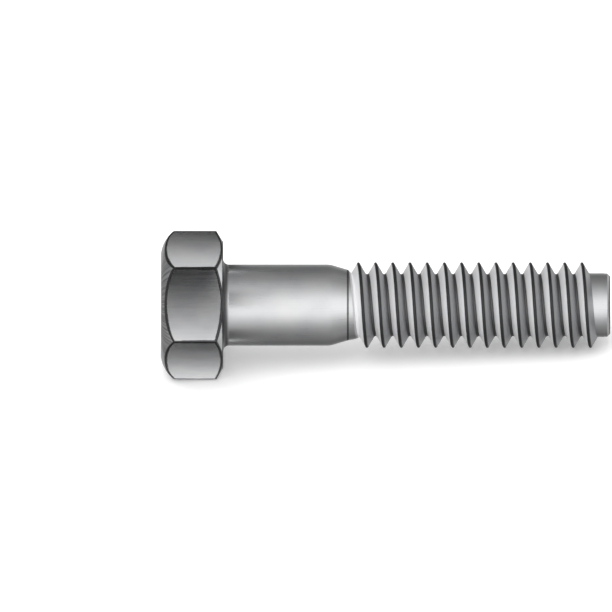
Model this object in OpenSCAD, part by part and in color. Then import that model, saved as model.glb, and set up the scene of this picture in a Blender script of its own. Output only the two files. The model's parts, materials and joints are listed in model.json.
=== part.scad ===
// Hex head screw with a plain shank, a tapered neck and a right-hand rolled thread.
// It is one cold-headed piece of steel: 1/4 in nominal size, 20 threads to the inch, 1 1/8 in long.
// Lengths are millimetres. The screw is drawn on its own axis and then laid on the floor at rest.

/* [Screw] */
// Length under the head, from the bearing face to the tip, in steps of a sixteenth of an inch
screw_length = 28.575; // [22.225:1.5875:38.1]

/* [Head] */
// Width across two opposite flats of the hexagon
head_across_flats = 9.525; // [9.3:0.025:9.8]
// Height of the head from the bearing face to the flat top
head_height = 4.6; // [4:0.05:5.2]
// Diameter of the flat circle on top of the head
top_circle_d = 7.7; // [7.4:0.05:8.2]
// Radius of the crowned chamfer that runs from the flat circle down over the corners
crown_r = 2.5; // [2.4:0.05:3.5]
// Slope at which the crowned chamfer leaves the flat circle, in degrees
crown_start_angle = 8; // [6:1:10]
// Distance from the middle of a flat in to the circle where the bearing side's chamfer starts
under_chamfer_inset = 0.11; // [0.05:0.01:0.3]
// Slope of the chamfer on the bearing side, in degrees
under_chamfer_angle = 32; // [25:1:40]

/* [Grade marks] */
// Number of radial grade marks struck into the top of the head
mark_count = 3; // [3:1:6]
// Radius at which a grade mark starts, near the middle of the head
mark_inner_r = 2.28; // [1:0.02:3]
// Distance that a grade mark runs on past the flat circle
mark_overrun = 0.08; // [0.04:0.01:0.3]
// Width of a grade mark
mark_width = 0.27; // [0.2:0.01:0.4]
// Depth of a grade mark
mark_depth = 0.14; // [0.1:0.01:0.25]

/* [Shank] */
// Diameter of the plain shank
shank_d = 6; // [5.8:0.02:6.2]
// Length of the plain shank, from the bearing face to the neck
shank_length = 7.9; // [6:0.05:12]
// Radius of the fillet between the bearing face and the shank
fillet_r = 0.4; // [0.3:0.01:0.6]
// Length of the tapered neck between the shank and the thread
neck_length = 1.3; // [1:0.02:1.6]
// Diameter of the neck where it meets the thread
neck_end_d = 5.26; // [5.1:0.02:5.5]

/* [Thread] */
// Major diameter, over the crests
thread_d = 6.32; // [6.12:0.01:6.35]
// Distance from one crest to the next
pitch = 1.27; // [1.1:0.01:1.4]
// Width of the flat along the crest
crest_flat = 0.105; // [0.08:0.005:0.16]
// Radius of the rounded root
root_r = 0.137; // [0.1:0.001:0.16]
// Angle between the two flanks, in degrees
flank_angle = 60; // [55:1:62]
// Arc over which the ridge rises out of the neck to its full height, in degrees
run_in_angle = 60; // [40:10:120]
// Arc over which the ridge dies away next to the tip, in degrees
run_out_angle = 90; // [40:10:90]

/* [Tip] */
// Least length of the plain tip beyond the end of the thread
least_tip_length = 0.4; // [0.3:0.02:0.8]
// Width of the chamfer on the tip's edge, the same both ways
tip_chamfer = 0.22; // [0.1:0.02:0.26]

/* [Hidden] */
$fn = 96;
// Overlap of solids that are joined into one piece
join = 0.02;

// Head: a hexagonal bar trimmed by a turned form, whose crown is an arc that starts at the flat circle.
flat_r = head_across_flats / 2;
corner_r = flat_r / cos(30);
top_circle_r = top_circle_d / 2;
crown_centre_r = top_circle_r - crown_r * sin(crown_start_angle);
crown_centre_z = -head_height + crown_r * cos(crown_start_angle);
under_circle_r = flat_r - under_chamfer_inset;

// Thread section: two flanks, a crest flat between them and a rounded root, together one pitch wide.
half_flank_angle = flank_angle / 2;
root_half_width = root_r * cos(half_flank_angle);
root_rise = root_r * (1 - sin(half_flank_angle));
flank_width = (pitch - crest_flat) / 2 - root_half_width;
ridge_width = 2 * flank_width + crest_flat;
crest_r = thread_d / 2;
foot_r = crest_r - flank_width / tan(half_flank_angle);

// Thread length: as many whole turns as fit between the neck and the tip.
neck_end_z = shank_length + neck_length;
neck_end_r = neck_end_d / 2;
thread_start_z = neck_end_z + 0.05;
thread_room = screw_length - least_tip_length - thread_start_z;
thread_turns = floor((thread_room - ridge_width - join) / pitch);
thread_end_z = thread_start_z + thread_turns * pitch + ridge_width + join;

// Facets of the thread: one ring of points every ten degrees, from the side away from the viewer.
steps_per_turn = 36;
step_angle = 360 / steps_per_turn;
last_step = thread_turns * steps_per_turn;
start_angle = 90;

// Tip: a little inside the flat facets of the thread's last ring.
tip_r = foot_r * cos(step_angle / 2) - join;

// Rest: the screw lies on the lowest flat, at its edge beside the bearing face, and on the last full crest.
flat_edge_z = -under_chamfer_inset * tan(under_chamfer_angle);
rest_turns = thread_turns - start_angle / 360;
rest_crest_z = thread_start_z + rest_turns * pitch + flank_width + crest_flat;
rest_tilt = atan((flat_r - crest_r) / (rest_crest_z - flat_edge_z));

// Lays the screw down: its axis runs from the head at -X to the tip at +X and dips by the rest tilt.
// Its own +X side, which is a flat of the head, faces the floor.
module laid_at_rest() {
    rotate([0, 90 + rest_tilt, 0]) children();
}

// Half section of the turned form: flat top, crown, straight side and the chamfer of the bearing side.
module head_section() {
    side_r = corner_r + 0.1;
    side_end_z = -(side_r - under_circle_r) * tan(under_chamfer_angle);
    intersection() {
        polygon([
            [0, -head_height],
            [side_r, -head_height],
            [side_r, side_end_z],
            [under_circle_r, 0],
            [0, 0]
        ]);
        union() {
            translate([0, -head_height]) square([crown_centre_r, head_height]);
            translate([crown_centre_r, crown_centre_z]) circle(r = crown_r);
            translate([0, crown_centre_z]) square([2 * corner_r, head_height]);
        }
    }
}

// Radial marks struck into the flat top. Each points at a corner of the hexagon.
module grade_marks() {
    mark_length = top_circle_r + mark_overrun - mark_inner_r;
    for (i = [1 : mark_count])
        rotate([0, 0, 30 + i * 360 / mark_count])
            translate([mark_inner_r, -mark_width / 2, -head_height - mark_depth])
                cube([mark_length, mark_width, 2 * mark_depth]);
}

module head() {
    difference() {
        intersection() {
            translate([0, 0, -1.5 * head_height])
                rotate([0, 0, 30])
                    cylinder(r = corner_r, h = 2 * head_height, $fn = 6);
            rotate_extrude() head_section();
        }
        grade_marks();
    }
}

// Fillet, plain shank and tapered neck, turned as one and rooted in the head.
module shank() {
    shank_r = shank_d / 2;
    rooted_z = -head_height / 2;
    rotate_extrude() {
        polygon([
            [0, rooted_z],
            [shank_r, rooted_z],
            [shank_r, shank_length],
            [neck_end_r, neck_end_z],
            [0, neck_end_z]
        ]);
        difference() {
            translate([0, -fillet_r]) square([shank_r + fillet_r, 2 * fillet_r]);
            translate([shank_r + fillet_r, fillet_r]) circle(r = fillet_r);
        }
    }
}

// Share of the full thread form that is reached a number of steps from the start: 0 at both ends, 1 between.
function form_share(step) =
    let (ramp = min(1, step * step_angle / run_in_angle, (last_step - step) * step_angle / run_out_angle))
    ramp * ramp * (3 - 2 * ramp);

// Radius of the blank, the form before rolling: it narrows from the neck to the thread's foot in one turn.
function blank_r(z) =
    let (share = min(1, max(0, (z - neck_end_z) / (thread_start_z + pitch - neck_end_z))))
    (1 - share) * (neck_end_r - join) + share * foot_r;

// Point at a radius and a height, a number of steps round from the start of the thread.
function point_at(step, r, z) =
    let (angle = start_angle + step * step_angle)
    [r * cos(angle), r * sin(angle), z];

// Point of the rolled thread: between the blank and the full form.
function rolled_point(step, share, full_r, offset) =
    let (z = thread_start_z + step / steps_per_turn * pitch + offset)
    point_at(step, (1 - share) * blank_r(z) + share * full_r, z);

// The ridge at one step: foot, crest edge, crest edge and foot.
function ridge_points(step) =
    let (share = form_share(step))
    [
        rolled_point(step, share, foot_r, 0),
        rolled_point(step, share, crest_r, flank_width),
        rolled_point(step, share, crest_r, flank_width + crest_flat),
        rolled_point(step, share, foot_r, ridge_width)
    ];

// Bottom of the root between the ridge at one step and the ridge one turn on.
function root_point(step) =
    let (share = form_share(step) * form_share(step + steps_per_turn))
    rolled_point(step, share, foot_r - root_rise, ridge_width + root_half_width);

// Two triangles between stations a and b at one step and the same stations at the next step.
function strip(a, b, next_a, next_b) = [[a, b, next_a], [next_a, b, next_b]];

// Triangles from one point to each stretch of a chain of points.
function fan(apex, chain) = [for (i = [1 : len(chain) - 1]) [apex, chain[i - 1], chain[i]]];

// The threaded stretch as one closed form: a ring at each end, the ridge, and the root between its turns.
module thread() {
    root_end = last_step - steps_per_turn;
    ring_steps = [0 : steps_per_turn - 1];
    start_ring = [for (i = ring_steps) point_at(i, neck_end_r - join, neck_end_z - join)];
    end_ring = [for (i = ring_steps) point_at(i, foot_r, thread_end_z)];
    ridge = [for (i = [0 : last_step]) each ridge_points(i)];
    root = [for (i = [0 : root_end]) root_point(i)];

    // Index of each point in the joined list; k counts the ridge's four stations.
    function start_i(i) = i % steps_per_turn;
    function end_i(i) = steps_per_turn + i % steps_per_turn;
    function ridge_i(i, k) = 2 * steps_per_turn + 4 * i + k;
    function root_i(i) = 2 * steps_per_turn + len(ridge) + i;

    ridge_faces = [for (i = [0 : last_step - 1], k = [0 : 2])
        each strip(ridge_i(i, k), ridge_i(i, k + 1), ridge_i(i + 1, k), ridge_i(i + 1, k + 1))];
    root_faces = [for (i = [0 : root_end - 1], n = i + steps_per_turn) each concat(
        strip(ridge_i(i, 3), root_i(i), ridge_i(i + 1, 3), root_i(i + 1)),
        strip(root_i(i), ridge_i(n, 0), root_i(i + 1), ridge_i(n + 1, 0))
    )];
    start_faces = [for (i = [0 : steps_per_turn - 2])
        each strip(start_i(i), ridge_i(i, 0), start_i(i + 1), ridge_i(i + 1, 0))];
    end_faces = [for (i = [1 : steps_per_turn - 1], n = i + root_end)
        each strip(ridge_i(n, 3), end_i(i), ridge_i(n + 1, 3), end_i(i + 1))];

    // A fan closes the seam between two neighbouring turns where the ridge starts and where it ends.
    start_seam = fan(ridge_i(steps_per_turn - 1, 0), concat(
        [ridge_i(steps_per_turn, 0), root_i(0)],
        [for (k = [3 : -1 : 0]) ridge_i(0, k)],
        [start_i(0), start_i(steps_per_turn - 1)]
    ));
    end_seam = fan(ridge_i(root_end + 1, 3), concat(
        [ridge_i(root_end, 3), root_i(root_end)],
        [for (k = [0 : 3]) ridge_i(last_step, k)],
        [end_i(0), end_i(1)]
    ));
    start_cap = [for (i = ring_steps) start_i(i)];
    end_cap = [for (i = [steps_per_turn - 1 : -1 : 0]) end_i(i)];

    polyhedron(
        points = concat(start_ring, end_ring, ridge, root),
        faces = concat(
            ridge_faces, root_faces, start_faces, end_faces, start_seam, end_seam,
            [start_cap, end_cap]
        )
    );
}

// Plain tip with its chamfer, turned as one and rooted in the thread's last ring.
module tip() {
    rotate_extrude()
        polygon([
            [0, thread_end_z - join],
            [tip_r, thread_end_z - join],
            [tip_r, screw_length - tip_chamfer],
            [tip_r - tip_chamfer, screw_length],
            [0, screw_length]
        ]);
}

module hex_screw() {
    color("silver")
        laid_at_rest()
            union() {
                head();
                shank();
                thread();
                tip();
            }
}

hex_screw();
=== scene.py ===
"""Hex head screw, 1/4 in with 20 threads to the inch and 1 1/8 in long, lying on a pale studio floor.

It is one zinc-plated steel piece: a crowned hexagonal head, a plain shank, a tapered neck and a rolled
right-hand thread. Everything is in metres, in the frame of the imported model.
"""
import json
import math
from functools import partial

import bmesh
import bpy
from mathutils import Matrix, Vector


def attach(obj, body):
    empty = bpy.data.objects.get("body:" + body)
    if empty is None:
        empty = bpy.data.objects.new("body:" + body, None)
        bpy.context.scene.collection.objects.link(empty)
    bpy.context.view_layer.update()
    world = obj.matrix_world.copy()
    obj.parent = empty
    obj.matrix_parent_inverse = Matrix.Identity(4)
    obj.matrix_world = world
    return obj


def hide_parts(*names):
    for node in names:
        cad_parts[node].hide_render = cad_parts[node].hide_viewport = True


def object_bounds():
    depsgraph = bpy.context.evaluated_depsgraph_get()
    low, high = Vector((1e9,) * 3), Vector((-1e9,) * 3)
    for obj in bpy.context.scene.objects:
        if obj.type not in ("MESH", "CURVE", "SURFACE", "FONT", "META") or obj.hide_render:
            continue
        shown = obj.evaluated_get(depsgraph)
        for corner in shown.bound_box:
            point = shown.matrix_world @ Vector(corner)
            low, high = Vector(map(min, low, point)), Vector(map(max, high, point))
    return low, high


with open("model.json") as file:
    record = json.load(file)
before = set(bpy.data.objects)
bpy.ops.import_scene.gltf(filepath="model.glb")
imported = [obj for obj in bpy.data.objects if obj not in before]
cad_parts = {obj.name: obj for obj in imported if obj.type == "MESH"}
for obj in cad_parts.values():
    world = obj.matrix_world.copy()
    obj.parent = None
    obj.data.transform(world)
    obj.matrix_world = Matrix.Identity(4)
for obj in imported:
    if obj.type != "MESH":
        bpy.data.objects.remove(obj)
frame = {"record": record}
cad_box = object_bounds()

# How it lies: on a flat of its head and on its last full crest, so its axis dips a little towards the tip.
# Everything is shaped on the screw's own axis, z from the bearing face to the tip, and laid down at the end.
mm = 0.001
bearing_face = next(m for m in frame["record"]["mounts"] if m["name"] == "bearing_face")
along = Vector(bearing_face["axis"])
dip = math.atan2(-along.z, along.x)
lying_turn = math.pi / 2 + dip

# Head: cold-headed from steel wire. The punch leaves a flat top and a crown that runs down over the six
# corners, the trimming die leaves the six flats, and the bearing side has a narrow chamfer.
lines_round = 144
line_step = 2 * math.pi / lines_round
half_flat = math.radians(30)
head_height = 4.6 * mm
flat_r = 9.525 / 2 * mm
corner_r = flat_r / math.cos(half_flat)
corner_soft_r = 0.16 * mm
top_circle_r = 7.7 / 2 * mm
crown_r = 2.5 * mm
crown_start = math.radians(8)
crown_centre_r = top_circle_r - crown_r * math.sin(crown_start)
crown_centre_z = -head_height + crown_r * math.cos(crown_start)
crown_points = (0.0, 0.02, 0.2, 0.4, 0.6, 0.8, 0.95)
under_circle_r = flat_r - 0.11 * mm
under_slope = math.tan(math.radians(32))
edge_soft = 0.09 * mm
crown_soft = 0.8 * edge_soft
under_soft = 0.035 * mm
hem = 0.02 * mm


def reach(bearing):
    """Distance from the axis to the side of the head at a bearing: flats between soft corners."""
    from_flat = (bearing + half_flat) % (2 * half_flat) - half_flat
    from_corner = half_flat - abs(from_flat)
    centre = corner_r - corner_soft_r / math.cos(half_flat)
    round_ends = math.atan2(corner_soft_r / 2, centre + corner_soft_r * math.cos(half_flat))
    if from_corner >= round_ends:
        return flat_r / math.cos(from_flat)
    sideways = centre * math.sin(from_corner)
    return centre * math.cos(from_corner) + math.sqrt(corner_soft_r**2 - sideways**2)


def crown_z(r):
    """Height of the crown at a distance from the axis."""
    return crown_centre_z - math.sqrt(crown_r**2 - (r - crown_centre_r) ** 2)


def soft_edge(before, edge, after, faces=3):
    """Points of a small round between two points on either side of an edge."""
    points = []
    for i in range(faces + 1):
        t = i / faces
        points.append(tuple(
            (1 - t) ** 2 * b + 2 * t * (1 - t) * e + t * t * a for b, e, a in zip(before, edge, after)
        ))
    return points


def head_outline(side_r):
    """Half outline of the head from its flat top to its bearing face, where its side stands at side_r."""
    soft_r = side_r - crown_soft
    crown_end_z = crown_z(side_r)
    under_z = -(side_r - under_circle_r) * under_slope
    crown = [top_circle_r + share * (soft_r - top_circle_r) for share in crown_points]
    return [
        (top_circle_r - hem, -head_height),
        *((r, crown_z(r)) for r in crown),
        *soft_edge((soft_r, crown_z(soft_r)), (side_r, crown_end_z), (side_r, crown_end_z + edge_soft)),
        (side_r, crown_end_z + edge_soft + hem),
        (side_r, under_z - under_soft - hem),
        *soft_edge(
            (side_r, under_z - under_soft),
            (side_r, under_z),
            (side_r - under_soft, under_z + under_soft * under_slope),
            faces=2,
        ),
        *soft_edge(
            (under_circle_r + hem, -hem * under_slope),
            (under_circle_r, 0),
            (under_circle_r - hem, 0),
            faces=2,
        ),
    ]


# Shank and neck: the steel wire's own plain stretch, with a fillet where it leaves the head and a short
# taper, pressed before rolling, that ends where the thread begins.
shank_r = 3.0 * mm
shank_length = 7.9 * mm
fillet_r = 0.4 * mm
fillet_faces = 6
shoulder_soft = 0.25 * mm
neck_end_z = 9.2 * mm
neck_end_r = 2.61 * mm
neck_slope = (shank_r - neck_end_r) / (neck_end_z - shank_length)
shank_outline = [(shank_r + fillet_r + 0.03 * mm, 0)]
for i in range(fillet_faces + 1):
    turned = math.pi / 2 * i / fillet_faces
    shank_outline.append((
        shank_r + fillet_r * (1 - math.sin(turned)),
        fillet_r * (1 - math.cos(turned)),
    ))
shank_outline.append((shank_r, fillet_r + 0.05 * mm))
shank_outline.append((shank_r, shank_length - 0.4 * mm))
shank_outline += soft_edge(
    (shank_r, shank_length - shoulder_soft),
    (shank_r, shank_length),
    (shank_r - shoulder_soft * neck_slope, shank_length + shoulder_soft),
)
shank_outline.append((neck_end_r + 0.1 * mm * neck_slope, neck_end_z - 0.1 * mm))
shank_outline.append((neck_end_r, neck_end_z))


def begin_outline(form, points):
    """Lays points joined by edges into a form, each point numbered as a station."""
    numbered = form.verts.layers.int.new("station")
    previous = None
    for number, place in enumerate(points):
        point = form.verts.new(place)
        point[numbered] = number
        if previous:
            form.edges.new((previous, point))
        previous = point
    return numbered


# The blank: head and shank are spun as one round form, the head as thick as the hexagon's flats are apart.
screw = bmesh.new()
head_stations = len(head_outline(flat_r))
station = begin_outline(screw, [(r, 0, z) for r, z in head_outline(flat_r) + shank_outline])
bmesh.ops.spin(
    screw, geom=screw.verts[:] + screw.edges[:], cent=(0, 0, 0), axis=(0, 0, 1),
    angle=2 * math.pi, steps=lines_round, use_merge=True,
)

# The die presses the round head to a hexagon. Its lines gather at the corners, where the side turns, at these
# angles from a corner in degrees, and are even across the flats.
gathered = [0, 0.42, 0.85, 1.4]
lines_to_corner = lines_round // 6
even_step = (60 - 2 * gathered[-1]) / (lines_to_corner - 2 * len(gathered) + 2)


def pressed_bearing(line):
    """Bearing of a line of the head: close together beside a corner and even across a flat."""
    corner, step = divmod(line - lines_to_corner // 2, lines_to_corner)
    mirrored = min(step, lines_to_corner - step)
    if mirrored < len(gathered):
        turned = gathered[mirrored]
    else:
        turned = gathered[-1] + (mirrored - len(gathered) + 1) * even_step
    if mirrored != step:
        turned = 60 - turned
    return math.radians(30 + 60 * corner + turned)


for point in screw.verts:
    if point[station] < head_stations:
        line = round(math.atan2(point.co.y, point.co.x) / line_step)
        bearing = pressed_bearing(line)
        r, z = head_outline(reach(bearing))[point[station]]
        point.co = (r * math.cos(bearing), r * math.sin(bearing), z)

# Top of the head: the flat top closes it, and three generic grade marks are struck into the steel, each
# towards a corner. They run on a little way into the crown.
mark_bearings = (30, 150, 270)
mark_inner_r = 2.28 * mm
mark_outer_r = 3.93 * mm
mark_width = 0.27 * mm
mark_depth = 0.14 * mm
mark_draft = 0.03 * mm
stations_marked = 5
on_plane = 1e-7
top_rim = [e for e in screw.edges if e.is_boundary and all(v[station] == 0 for v in e.verts)]
bmesh.ops.contextual_create(screw, geom=top_rim)


def faces_to_mark(out):
    """Faces of the flat top, and of the crown on the side of the head that out points to."""
    faces = []
    for face in screw.faces:
        is_top = len(face.verts) > 40
        is_crown = all(v[station] < stations_marked for v in face.verts) and face.normal.z < -0.5
        if is_top or is_crown:
            if face.calc_center_median().dot(out) > 0 or face.normal.z < -0.9999:
                faces.append(face)
    return faces


for mark_bearing in mark_bearings:
    out = Vector((math.cos(math.radians(mark_bearing)), math.sin(math.radians(mark_bearing)), 0))
    aside = Vector((-out.y, out.x, 0))
    screw.normal_update()
    for face in screw.faces:
        if face.calc_center_median().z < 0.1 * mm - head_height and face.normal.z > 0:
            face.normal_flip()
    for place, facing in (
        (aside * mark_width / 2, aside),
        (-aside * mark_width / 2, aside),
        (out * mark_inner_r, out),
        (out * mark_outer_r, out),
    ):
        near = faces_to_mark(out)
        if facing is out:
            near = [f for f in near if abs(f.calc_center_median().dot(aside)) < mark_width / 2]
        parts = near + list(dict.fromkeys(part for face in near for part in (*face.edges, *face.verts)))
        bmesh.ops.bisect_plane(screw, geom=parts, dist=on_plane, plane_co=place, plane_no=facing)
    struck = [
        f for f in faces_to_mark(out)
        if abs(f.calc_center_median().dot(aside)) < mark_width / 2
        and mark_inner_r < f.calc_center_median().dot(out) < mark_outer_r
    ]
    sunk = bmesh.ops.extrude_face_region(screw, geom=struck)["geom"]
    bmesh.ops.delete(screw, geom=struck, context="FACES")
    for point in (v for v in sunk if isinstance(v, bmesh.types.BMVert)):
        point.co.z = -head_height + mark_depth
        side = point.co.dot(aside)
        point.co -= aside * math.copysign(min(mark_draft, abs(side)), side)
        if point.co.dot(out) < (mark_inner_r + mark_outer_r) / 2:
            point.co += out * mark_draft

# Thread: rolled into the steel, right-hand. One pitch of its outline has two straight flanks, a narrow crest
# with soft edges and the faint seam that rolling leaves, and a round root. It is spun forward a pitch a turn.
pitch = 1.27 * mm
thread_start_z = neck_end_z + 0.05 * mm
turns = 14
start_bearing = math.pi / 2
run_in = math.radians(60)
run_out = math.radians(90)
crest_r = 3.16 * mm
crest_flat = 0.105 * mm
crest_soft = 0.03 * mm
seam_depth = 0.008 * mm
root_r = 0.137 * mm
root_faces = 8
flank_lean = math.radians(30)
flank_width = (pitch - crest_flat) / 2 - root_r * math.cos(flank_lean)
ridge_width = 2 * flank_width + crest_flat
foot_r = crest_r - flank_width / math.tan(flank_lean)
root_centre_r = foot_r + root_r * math.sin(flank_lean)
flank = Vector((math.sin(flank_lean), math.cos(flank_lean)))
crest_edge = Vector((flank_width, crest_r))
half_ridge = [
    Vector((0, foot_r)),
    Vector((0, foot_r)) + 0.06 * mm * flank,
    Vector((flank_width / 2, (foot_r + crest_r) / 2)),
    crest_edge - (crest_soft + hem) * flank,
    *[Vector(p) for p in soft_edge(
        crest_edge - crest_soft * flank, crest_edge, crest_edge + Vector((crest_soft, 0)), faces=2
    )],
]
crest_middle = Vector((flank_width + crest_flat / 2, crest_r - seam_depth))
other_half = [Vector((ridge_width - p.x, p.y)) for p in reversed(half_ridge)]
root = []
for i in range(1, root_faces + 1):
    turned = math.radians(-60 + 120 * i / root_faces)
    root.append(Vector((
        (ridge_width + pitch) / 2 + root_r * math.sin(turned),
        root_centre_r - root_r * math.cos(turned),
    )))
thread_outline = half_ridge + [crest_middle] + other_half + root
spare_turns = 2
spun_from_z = thread_start_z - spare_turns * pitch

thread = bmesh.new()
thread_station = begin_outline(thread, [(0, p.y, spun_from_z + p.x) for p in thread_outline])
bmesh.ops.spin(
    thread, geom=thread.verts[:] + thread.edges[:], cent=(0, 0, 0), axis=(0, 0, 1),
    dvec=(0, 0, pitch / lines_round), angle=2 * math.pi, steps=lines_round, use_merge=False,
)
one_turn = thread.verts[:] + thread.edges[:] + thread.faces[:]
for turn in range(1, turns + 2 * spare_turns):
    copied = bmesh.ops.duplicate(thread, geom=one_turn)["geom"]
    bmesh.ops.translate(
        thread, vec=(0, 0, turn * pitch), verts=[v for v in copied if isinstance(v, bmesh.types.BMVert)]
    )
same_place = 2e-6
bmesh.ops.remove_doubles(thread, verts=thread.verts, dist=same_place)


def form_share(step):
    """Share of the full form at a step: it rises out of the neck and dies away next to the tip."""
    turned = step * line_step
    left = (turns * lines_round - step) * line_step
    ramp = max(0, min(1, turned / run_in, left / run_out))
    return ramp * ramp * (3 - 2 * ramp)


def blank_r(z):
    """Radius of the blank before rolling."""
    share = min(1, max(0, (z - neck_end_z) / (thread_start_z + pitch - neck_end_z)))
    return (1 - share) * neck_end_r + share * foot_r


last = len(thread_outline) - 1
for point in thread.verts:
    number = point[thread_station]
    offset, full_r = thread_outline[number]
    step = round((point.co.z - thread_start_z - offset) / pitch * lines_round)
    if number == last:
        step, offset = step + lines_round, 0
    z = thread_start_z + step / lines_round * pitch + offset
    here, next_turn = form_share(step), form_share(step + lines_round)
    if offset > ridge_width:
        across = (offset - ridge_width) / (pitch - ridge_width)
        share = (1 - across) * here + across * next_turn
        r = (1 - share) * blank_r(z) + share * foot_r - here * next_turn * (foot_r - full_r)
    else:
        r = (1 - here) * blank_r(z) + here * full_r
    bearing = start_bearing + step * line_step
    point.co = (r * math.cos(bearing), r * math.sin(bearing), z)

# Ends of the thread: the spun form is cut square where it meets the neck and where the plain tip begins. The
# points of both cuts are set on true circles, so that they meet the turned forms beside them.
thread_end_z = thread_start_z + turns * pitch + ridge_width + 0.02 * mm
for height, direction, ring_r in ((neck_end_z, -1, neck_end_r), (thread_end_z, 1, foot_r)):
    bmesh.ops.bisect_plane(
        thread, geom=thread.verts[:] + thread.edges[:] + thread.faces[:], dist=on_plane,
        plane_co=(0, 0, height), plane_no=(0, 0, direction), clear_outer=True,
    )
    between_lines = []
    for point in thread.verts:
        line = math.atan2(point.co.y, point.co.x) / line_step
        if abs(point.co.z - height) < on_plane and abs(line - round(line)) > 0.001:
            between_lines.append(point)
    bmesh.ops.dissolve_verts(thread, verts=between_lines)
    for point in thread.verts:
        if abs(point.co.z - height) < on_plane:
            point.co.xy = point.co.xy.normalized() * ring_r

# Tip: the cut end of the steel wire. It is plain, with a turned chamfer and a faint hollow, as the cut-off
# leaves it.
tip_z = 28.575 * mm
tip_r = foot_r - 0.015 * mm
chamfer = 0.22 * mm
chamfer_soft = 0.03 * mm
tip_outline = [
    (foot_r, thread_end_z + 0.02 * mm),
    (tip_r, thread_end_z + 0.06 * mm),
    *soft_edge((tip_r, tip_z - chamfer - chamfer_soft), (tip_r, tip_z - chamfer),
               (tip_r - 0.02 * mm, tip_z - chamfer + 0.02 * mm), faces=2),
    *soft_edge((tip_r - chamfer + chamfer_soft, tip_z - chamfer_soft), (tip_r - chamfer, tip_z),
               (tip_r - chamfer - 0.04 * mm, tip_z), faces=2),
    (1.9 * mm, tip_z - 0.004 * mm),
    (1.2 * mm, tip_z - 0.05 * mm),
    (0.5 * mm, tip_z - 0.075 * mm),
]
rim = [
    e for e in thread.edges
    if e.is_boundary and all(abs(v.co.z - thread_end_z) < on_plane for v in e.verts)
]
r_now, z_now = foot_r, thread_end_z
for r, z in tip_outline:
    grown = bmesh.ops.extrude_edge_only(thread, edges=rim)["geom"]
    ring = [v for v in grown if isinstance(v, bmesh.types.BMVert)]
    rim = [e for e in grown if isinstance(e, bmesh.types.BMEdge)]
    bmesh.ops.scale(thread, vec=(r / r_now, r / r_now, 1), verts=ring)
    bmesh.ops.translate(thread, vec=(0, 0, z - z_now), verts=ring)
    r_now, z_now = r, z
bmesh.ops.contextual_create(thread, geom=rim)


def as_mesh(name, form):
    """A mesh made from a finished form, which is let go."""
    mesh = bpy.data.meshes.new(name)
    form.to_mesh(mesh)
    form.free()
    return mesh


def set_out(name, data):
    """A new object of the scene, at the origin."""
    made = bpy.data.objects.new(name, data)
    bpy.context.scene.collection.objects.link(made)
    return made


# The whole screw: head, shank, thread and tip become one closed skin of steel, which is laid down where the
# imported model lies. The flats are shaded flat and the rest round, and only hard turns are sharp.
hard_turn = math.radians(36)
rolled = as_mesh("rolled_thread", thread)
screw.from_mesh(rolled)
bpy.data.meshes.remove(rolled)
bmesh.ops.remove_doubles(screw, verts=screw.verts, dist=same_place)
bmesh.ops.recalc_face_normals(screw, faces=screw.faces)
for face in screw.faces:
    from_flat = (math.atan2(face.normal.y, face.normal.x) + half_flat) % (2 * half_flat) - half_flat
    stands_square = abs(face.normal.z) < 1e-4 and abs(from_flat) < 1e-4
    face.smooth = not (stands_square and face.calc_center_median().z < 0)
for edge in screw.edges:
    if len(edge.link_faces) == 2 and edge.calc_face_angle() > hard_turn:
        edge.smooth = False
bmesh.ops.transform(screw, matrix=Matrix.Rotation(lying_turn, 4, "Y"), verts=screw.verts)
skin = as_mesh("plated_screw", screw)
plated_screw = set_out("plated_screw", skin)


class Reading:
    """A shader socket that takes part in plain arithmetic."""

    def __init__(self, tree, socket):
        self.tree = tree
        self.socket = socket

    @staticmethod
    def node(tree, kind, settings=None, sockets=None, out=0):
        """A node of a kind, with its settings made first and then its sockets' values or links."""
        made = tree.nodes.new(kind)
        for name, value in (settings or {}).items():
            if name == "stops":
                ramp = made.color_ramp
                while len(ramp.elements) < len(value):
                    ramp.elements.new(0.5)
                for element, (place, colour) in zip(ramp.elements, value):
                    element.position = place
                    element.color = (*colour, 1) if isinstance(colour, tuple) else (colour, colour, colour, 1)
            else:
                setattr(made, name, value)
        for name, value in (sockets or {}).items():
            if isinstance(value, Reading):
                tree.links.new(value.socket, made.inputs[name])
            else:
                made.inputs[name].default_value = value
        return Reading(tree, made.outputs[out]) if made.outputs else None

    def maths(self, operation, *others):
        """The outcome of a Math node on this reading and others."""
        return Reading.node(
            self.tree, "ShaderNodeMath", {"operation": operation}, dict(enumerate((self, *others)))
        )

    def __add__(self, other):
        return self.maths("ADD", other)

    def __mul__(self, other):
        return self.maths("MULTIPLY", other)

    def __sub__(self, other):
        return self.maths("SUBTRACT", other)

    def __rsub__(self, other):
        return Reading.node(self.tree, "ShaderNodeMath", {"operation": "SUBTRACT"}, {0: other, 1: self})

    def __truediv__(self, other):
        return self.maths("DIVIDE", other)

    def __rtruediv__(self, other):
        return Reading.node(self.tree, "ShaderNodeMath", {"operation": "DIVIDE"}, {0: other, 1: self})

    __radd__ = __add__
    __rmul__ = __mul__

    def rising(self, low, high):
        """0 below low, 1 above high and smooth between."""
        return Reading.node(
            self.tree, "ShaderNodeMapRange", {"interpolation_type": "SMOOTHSTEP"},
            {"Value": self, "From Min": low, "From Max": high, "To Min": 0.0, "To Max": 1.0},
        )

    def falling(self, low, high):
        """1 below low, 0 above high and smooth between."""
        return 1 - self.rising(low, high)


def bare_tree(owner):
    """The emptied shader tree of a material or of the world."""
    owner.use_nodes = True
    owner.node_tree.nodes.clear()
    return owner.node_tree


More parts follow.
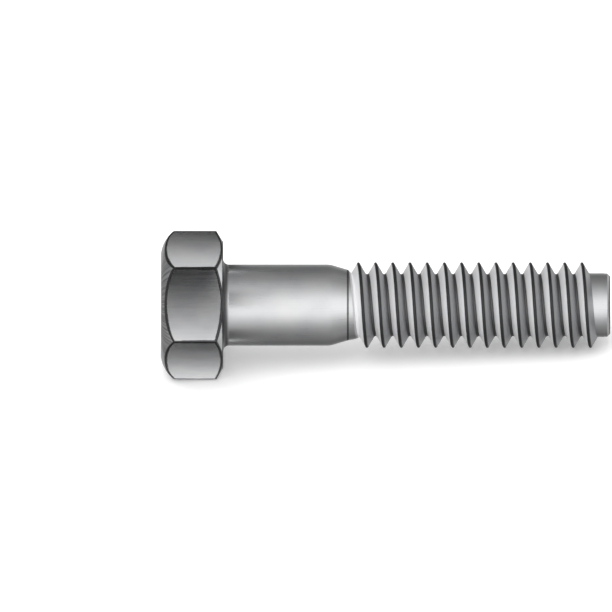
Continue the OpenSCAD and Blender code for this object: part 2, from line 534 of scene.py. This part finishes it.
# Bright zinc over drawn and rolled steel: fine lines along the shank and the flats, lines fanning out over
# the crown, lines that follow the thread and cloudy patches in the zinc. Near-black bands are painted along
# corners and crests, painted light and shade on the thread's flanks, and painted shade in the hollows.
plating = bpy.data.materials.new("bright_zinc_on_steel")
zinc = partial(Reading.node, bare_tree(plating))
place = zinc("ShaderNodeTexCoord", out="Object")
own = zinc("ShaderNodeMapping", {"vector_type": "POINT"}, {"Vector": place, "Rotation": (0, -lying_turn, 0)})
x, y, z = (zinc("ShaderNodeSeparateXYZ", sockets={"Vector": own}, out=axis) for axis in "XYZ")


def slant(one_way, square_to_it):
    """Distance that two offsets square to each other make together."""
    return (one_way * one_way + square_to_it * square_to_it).maths("SQRT")


def noise(vector, scale, detail, coarseness):
    """Noise from 0 to 1 on a vector, given as one reading or as three."""
    if isinstance(vector, tuple):
        vector = zinc("ShaderNodeCombineXYZ", sockets=dict(zip("XYZ", vector)))
    return zinc(
        "ShaderNodeTexNoise", {"noise_dimensions": "3D"},
        {"Vector": vector, "Scale": scale, "Detail": detail, "Roughness": coarseness},
    )


from_axis = slant(x, y)
round_axis = y.maths("ARCTAN2", x)
below_top = z + head_height
on_head = z.falling(0.05 * mm, 0.1 * mm)
on_top = below_top.falling(0.01 * mm, 0.03 * mm)

# Where the thread is: turns_passed is nearly whole along a crest and counts up from one crest to the next.
turned_share = (round_axis - start_bearing).maths("WRAP", 2 * math.pi, 0.0) / (2 * math.pi)
turns_passed = (z - thread_start_z - flank_width) / pitch - turned_share
turns_along = turned_share + turns_passed.maths("ROUND")
on_thread = turns_passed.rising(-0.5, -0.42) * turns_passed.falling(turns - 0.58, turns - 0.5)
on_thread = on_thread * turns_along.rising(0.0, run_in / (2 * math.pi))
on_thread = on_thread * (turns - turns_along).rising(0.0, run_out / (2 * math.pi))

# Lines of the drawn wire and of the dies run along the axis and fan out over the crown, half as strong on the
# head. Lines of the rolling dies follow the thread round, and the punch leaves a fine grain on the flat top.
outward = from_axis + 1e-6
drawn_lines = noise((x / outward * 60.0, y / outward * 60.0, z * 150.0), 1.0, 3.0, 0.5)
forged_grain = noise(own, 5200.0, 5.0, 0.6)
zinc_clouds = noise(own, 420.0, 4.0, 0.55)
phase = z * (2 * math.pi / pitch) - round_axis
rolled_lines = noise(
    (phase.maths("COSINE") * 14.0, phase.maths("SINE") * 14.0, from_axis * 9000.0 + z * 60.0), 1.0, 3.0, 0.6,
)
calm_lines = (drawn_lines - 0.5) * (1 - on_head * 0.5) + 0.5
lines = calm_lines * (1 - on_thread) * (1 - on_top) + rolled_lines * on_thread + forged_grain * on_top

# Near-black bands are painted along the crests, the corners of the head, the rims of its crown and of its
# bearing side, and the edge of the tip. Each is a distance from an edge.
from_flat = (round_axis + half_flat).maths("WRAP", 2 * half_flat, 0.0) - half_flat
side = flat_r / from_flat.maths("COSINE")
inside_by = side - from_axis
past_crown_centre = side - crown_centre_r
crown_edge = crown_centre_z - (crown_r**2 - past_crown_centre * past_crown_centre).maths("SQRT")
under_edge = (under_circle_r - side) * under_slope
to_corner = flat_r * (math.tan(half_flat) - from_flat.maths("TANGENT").maths("ABSOLUTE"))
to_corner = to_corner + inside_by.rising(0.05 * mm, 0.1 * mm) * mm
to_top_circle = (from_axis - top_circle_r).maths("ABSOLUTE") + below_top.rising(0.1 * mm, 0.2 * mm) * mm
to_under_circle = (from_axis - under_circle_r).maths("ABSOLUTE").maths("MAXIMUM", z.maths("ABSOLUTE"))
to_edge = slant(inside_by, z - crown_edge)
for to_other_edge in (slant(inside_by, z - under_edge), to_corner, to_top_circle, to_under_circle):
    to_edge = to_edge.maths("MINIMUM", to_other_edge)
to_tip_edge = (from_axis - tip_r + chamfer).maths("ABSOLUTE").maths("MAXIMUM", (z - tip_z).maths("ABSOLUTE"))
ragged = (zinc_clouds - 0.5) * 0.16 * mm + (forged_grain - 0.5) * 0.08 * mm
# Near-black bands painted along the head's edges, the thread's crests and the tip's edge.
dark_edge_band = on_head * (to_edge + ragged).falling(0.10 * mm, 0.18 * mm)
dark_crest_band = on_thread * (from_axis + ragged * 0.3).rising(crest_r - 0.15 * mm, crest_r - 0.09 * mm)
dark_tip_band = (to_tip_edge + ragged * 0.4).falling(0.05 * mm, 0.11 * mm)
dark_bands = dark_edge_band.maths("MAXIMUM", dark_crest_band).maths("MAXIMUM", dark_tip_band)

# Painted shade: the root of the thread, the line where rolling begins, the fillet under the head and the
# struck marks are painted nearly black, as the shade in these hollows and creases.
in_root = (from_axis + ragged * 0.3).falling(foot_r - 0.05 * mm, foot_r + 0.03 * mm)
in_root = in_root * turns_passed.rising(0.0, 0.1) * turns_passed.falling(turns - 1.0, turns - 0.9)
at_neck_end = ((z - neck_end_z).maths("ABSOLUTE") + ragged * 0.3).falling(0.04 * mm, 0.10 * mm)
in_fillet = (from_axis + ragged * 0.5 + z).falling(shank_r + 0.35 * mm, shank_r + 0.5 * mm)
in_fillet = in_fillet * z.rising(-0.01 * mm, 0.0) * z.falling(0.2 * mm, 0.45 * mm)
in_mark = below_top.rising(0.03 * mm, 0.07 * mm) * below_top.falling(0.2 * mm, 0.3 * mm)
in_mark = in_mark * from_axis.falling(mark_outer_r, mark_outer_r + 0.03 * mm)
painted_hollow_shade = in_root.maths("MAXIMUM", at_neck_end).maths("MAXIMUM", in_fillet).maths("MAXIMUM", in_mark)

# Painted shade darkens the flat top towards its rim, and the zinc greys in streaks over the crown. A thread's
# head-facing flanks are painted light and less metallic, as if lit from the head's side, and its tip-facing
# flanks are painted dark, as painted shade.
# Painted shade: the flat top darkens towards its rim, standing in for the shading of a dished top.
painted_top_rim_shade = on_top * from_axis.rising(1.8 * mm, 4.1 * mm)
crown_streaks = on_head * (1 - on_top) * inside_by.rising(0.02 * mm, 0.1 * mm)
crown_streaks = crown_streaks * z.falling(-2.5 * mm, -2.4 * mm) * drawn_lines.rising(0.42, 0.6)
from_crest = phase - 2 * math.pi * (thread_start_z + flank_width + crest_flat / 2) / pitch + start_bearing
tip_facing = from_crest.maths("SINE").rising(-0.12, 0.12)
# Painted light on the head-facing flanks, painted shade on the tip-facing flanks.
painted_light_flanks = on_thread * (1 - tip_facing)
painted_shade_flanks = on_thread * tip_facing
tint = zinc("ShaderNodeValToRGB", {"stops": [
    (0.3, (0.60, 0.61, 0.63)), (0.5, (0.67, 0.675, 0.685)), (0.7, (0.73, 0.73, 0.725)),
]}, {"Fac": zinc_clouds * 0.7 + lines * 0.3})
# In this mix the flanks get painted light and painted shade, the top's rim and the hollows get painted shade,
# and edges and crests get near-black bands.
for share, colour in (
    (painted_light_flanks, (0.88, 0.88, 0.89)),
    (painted_shade_flanks, (0.45, 0.455, 0.465)),
    (painted_top_rim_shade.maths("MAXIMUM", crown_streaks * 0.6), (0.20, 0.203, 0.21)),
    (painted_hollow_shade * 0.9, (0.08, 0.08, 0.083)),
    (dark_bands * 0.95, (0.04, 0.04, 0.042)),
):
    tint = zinc("ShaderNodeMix", {"data_type": "RGBA"}, {"Factor": share, 6: tint, 7: (*colour, 1)}, out=2)
roughness = 0.2 + lines * 0.14 + zinc_clouds * 0.06
roughness = roughness + on_thread * 0.12 + painted_hollow_shade * 0.1 + dark_bands * 0.08 - on_head * 0.1
metallic = 1 - painted_light_flanks * (1 - painted_hollow_shade) * (1 - dark_bands) * 0.55
relief = lines * 0.7 + forged_grain * 0.3
bump = zinc("ShaderNodeBump", sockets={"Strength": 0.1, "Distance": 0.01 * mm, "Height": relief})
metal = zinc("ShaderNodeBsdfPrincipled", sockets={
    "Base Color": tint, "Metallic": metallic, "Roughness": roughness, "Normal": bump})
zinc("ShaderNodeOutputMaterial", sockets={"Surface": metal})
skin.materials.append(plating)
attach(plated_screw, "root")
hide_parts("hex_screw")

# Floor: a sheet of matt white paper that lies a hair under the screw. It has a little light of its own, so
# that it stays white, and the metal doesn't mirror it.
paper_gap = 0.01 * mm
sheet = bmesh.new()
bmesh.ops.create_grid(sheet, x_segments=4, y_segments=4, size=2.0)
bmesh.ops.translate(sheet, vec=(0, 0, cad_box[0].z - paper_gap), verts=sheet.verts)
paper = bpy.data.materials.new("white_paper")
fibre = partial(Reading.node, bare_tree(paper))
paper_fibre = fibre("ShaderNodeTexNoise", None, {
    "Vector": fibre("ShaderNodeTexCoord", out="Object"), "Scale": 900.0, "Detail": 3.0})
paper_colour = fibre("ShaderNodeValToRGB", {"stops": [(0.3, 0.86), (0.7, 0.88)]}, {"Fac": paper_fibre})
matt = fibre("ShaderNodeBsdfPrincipled", sockets={
    "Base Color": paper_colour, "Roughness": 0.9, "Specular IOR Level": 0.1,
    "Emission Color": (1, 1, 1, 1), "Emission Strength": 0.2})
fibre("ShaderNodeOutputMaterial", sockets={"Surface": matt})
paper_floor = set_out("paper_floor", as_mesh("paper_floor", sheet))
paper_floor.data.materials.append(paper)
paper_floor.visible_glossy = False

# Camera: square to one flat of the head and to the axis, level with the screw, as in a side elevation. The
# middle of its frame is a little way along the shank, so the tip ends at the right edge.
raised = math.sin(half_flat)
across = Vector((raised * math.sin(dip), -math.cos(half_flat), raised * math.cos(dip)))
upward = across.cross(along)
view_width = 45.2 * mm
frame_middle = along * (6.11 * mm) - upward * (0.07 * mm)
camera_data = bpy.data.cameras.new("side_camera")
camera_data.type = "ORTHO"
camera_data.ortho_scale = view_width
camera_data.clip_start = 0.001
camera_data.clip_end = 10
camera = set_out("side_camera", camera_data)
facing = Matrix((along, upward, across)).transposed().to_4x4()
camera.matrix_world = Matrix.Translation(frame_middle + 0.25 * across) @ facing
bpy.context.scene.camera = camera

# Light: a white tent. The paper sees it evenly white, and the metal sees its panels, bright in front, darker
# overhead and round behind, with gaps towards both ends of the screw.
tent = bpy.data.worlds.new("studio_tent")
bpy.context.scene.world = tent
panel = partial(Reading.node, bare_tree(tent))
looking = panel("ShaderNodeTexCoord", out="Generated")


def towards(direction):
    """How far a ray looks towards a direction, from -1 to 1."""
    return panel(
        "ShaderNodeVectorMath", {"operation": "DOT_PRODUCT"}, {0: looking, 1: direction}, out="Value"
    )


# Brightness at angles above the horizon in front, which run on over the top and down behind, in degrees.
lowest_angle = -150
tent_profile = [
    (-150, 0.5), (-125, 0.3), (-112, 0.12), (-95, 0.19), (-70, 0.25), (-45, 0.39), (-25, 0.62), (-5, 1.05),
    (5, 1.28), (40, 1.28), (60, 0.95), (80, 0.62), (110, 0.30), (140, 0.18), (155, 0.15), (168, 0.16),
    (180, 0.4), (210, 0.5),
]
height = towards((0, 0, 1)).maths("ARCTAN2", towards((0, -1, 0))) * (180 / math.pi)
height = height.maths("WRAP", lowest_angle + 360.0, lowest_angle)
profile = panel("ShaderNodeValToRGB", {
    "stops": [((angle - lowest_angle) / 360, brightness) for angle, brightness in tent_profile],
}, {"Fac": (height - lowest_angle) / 360.0})
in_front = towards(tuple(across))
right = towards(tuple(along))
left = -1 * right
left_gap = left.rising(0.3, 0.5)
left_end = left.rising(0.9, 0.96)
left_side = left_gap * (1 - left_end) * (0.3 + 0.14 * in_front.rising(-0.4, 0.2))
right_panel = right.rising(0.72, 0.82)
right_end = right.rising(0.9, 0.95)
right_back = right.rising(0.3, 0.5) * in_front.falling(-0.3, 0.1) * 0.3
panels = profile * (1 - left_gap) * (1 + right_panel * 0.6) * (1 - right_end)
panels = panels + left_side + left_end * 0.9 + right_end * 0.3 + right_back
rays = panel("ShaderNodeLightPath", out="Is Glossy Ray")
seen = panel("ShaderNodeMix", {"data_type": "FLOAT"}, {"Factor": rays, 2: 1.1, 3: panels})
backdrop = panel("ShaderNodeBackground", sockets={"Color": (1, 1, 1, 1), "Strength": seen})
panel("ShaderNodeOutputWorld", sockets={"Surface": backdrop})

# Softbox: a large soft light over the screw and in front of it, which deepens the soft shadow on the paper.
# The metal doesn't mirror it.
top_light = bpy.data.lights.new("top_softbox", "AREA")
top_light.shape = "RECTANGLE"
top_light.size = 0.3
top_light.size_y = 0.22
top_light.energy = 0.4
hung_at = Vector((-0.06, -0.10, 0.26))
aimed = hung_at.to_track_quat("Z", "Y").to_matrix().to_4x4()
top_softbox = set_out("top_softbox", top_light)
top_softbox.matrix_world = Matrix.Translation(hung_at) @ aimed
top_softbox.visible_camera = False
top_softbox.visible_glossy = False

# Reflector cards: painted from dark to light, held a little way off the head, out of the camera's sight. Each
# shades one flat from its upper edge to its lower edge.
card_distance = 14 * mm
card_half_width = 4.6 * mm
card_half_height = 9 * mm
card_rise = 8 * mm
card_middle = -3.6 * mm
card_paint = bpy.data.materials.new("graded_card")
graded = partial(Reading.node, bare_tree(card_paint))
card_shade = graded("ShaderNodeAttribute", {"attribute_name": "shade"}, out="Fac")
card_inside = graded("ShaderNodeNewGeometry", out="Backfacing")
card_light = graded(
    "ShaderNodeEmission", sockets={"Color": (1, 1, 1, 1), "Strength": card_shade * card_inside})
graded("ShaderNodeOutputMaterial", sockets={"Surface": card_light})
card_paint.cycles.emission_sampling = "NONE"
cards = (("upper_card", 60, 1.2), ("middle_card", 0, 1.05), ("lower_card", -60, 1.35))
for name, flat_turn, brightest in cards:
    normal = (Matrix.Rotation(-math.radians(flat_turn), 3, along) @ across).normalized()
    in_flat = normal.cross(along)
    mirrored = (2 * normal.dot(across) * normal - across).normalized()
    seen_flat = in_flat - in_flat.dot(mirrored) * mirrored
    seen_half = flat_r * math.tan(half_flat) * seen_flat.length
    up_the_flat = seen_flat.normalized()
    centre = card_middle * along + normal * flat_r + mirrored * card_distance
    card_form = bmesh.new()
    bmesh.ops.create_grid(card_form, x_segments=2, y_segments=24, size=1)
    shade = card_form.verts.layers.float.new("shade")
    for point in card_form.verts:
        up = point.co.y * card_half_height + card_rise - seen_half
        share = min(1.1, max(0, (seen_half - up) / (2 * seen_half)))
        point[shade] = brightest * share**2
        point.co = centre + along * point.co.x * card_half_width + up_the_flat * up
    card = set_out(name, as_mesh(name, card_form))
    card.data.materials.append(card_paint)
    card.visible_camera = card.visible_diffuse = card.visible_shadow = card.visible_transmission = False

bpy.context.scene.view_settings.view_transform = "Standard"

bpy.context.view_layer.update()
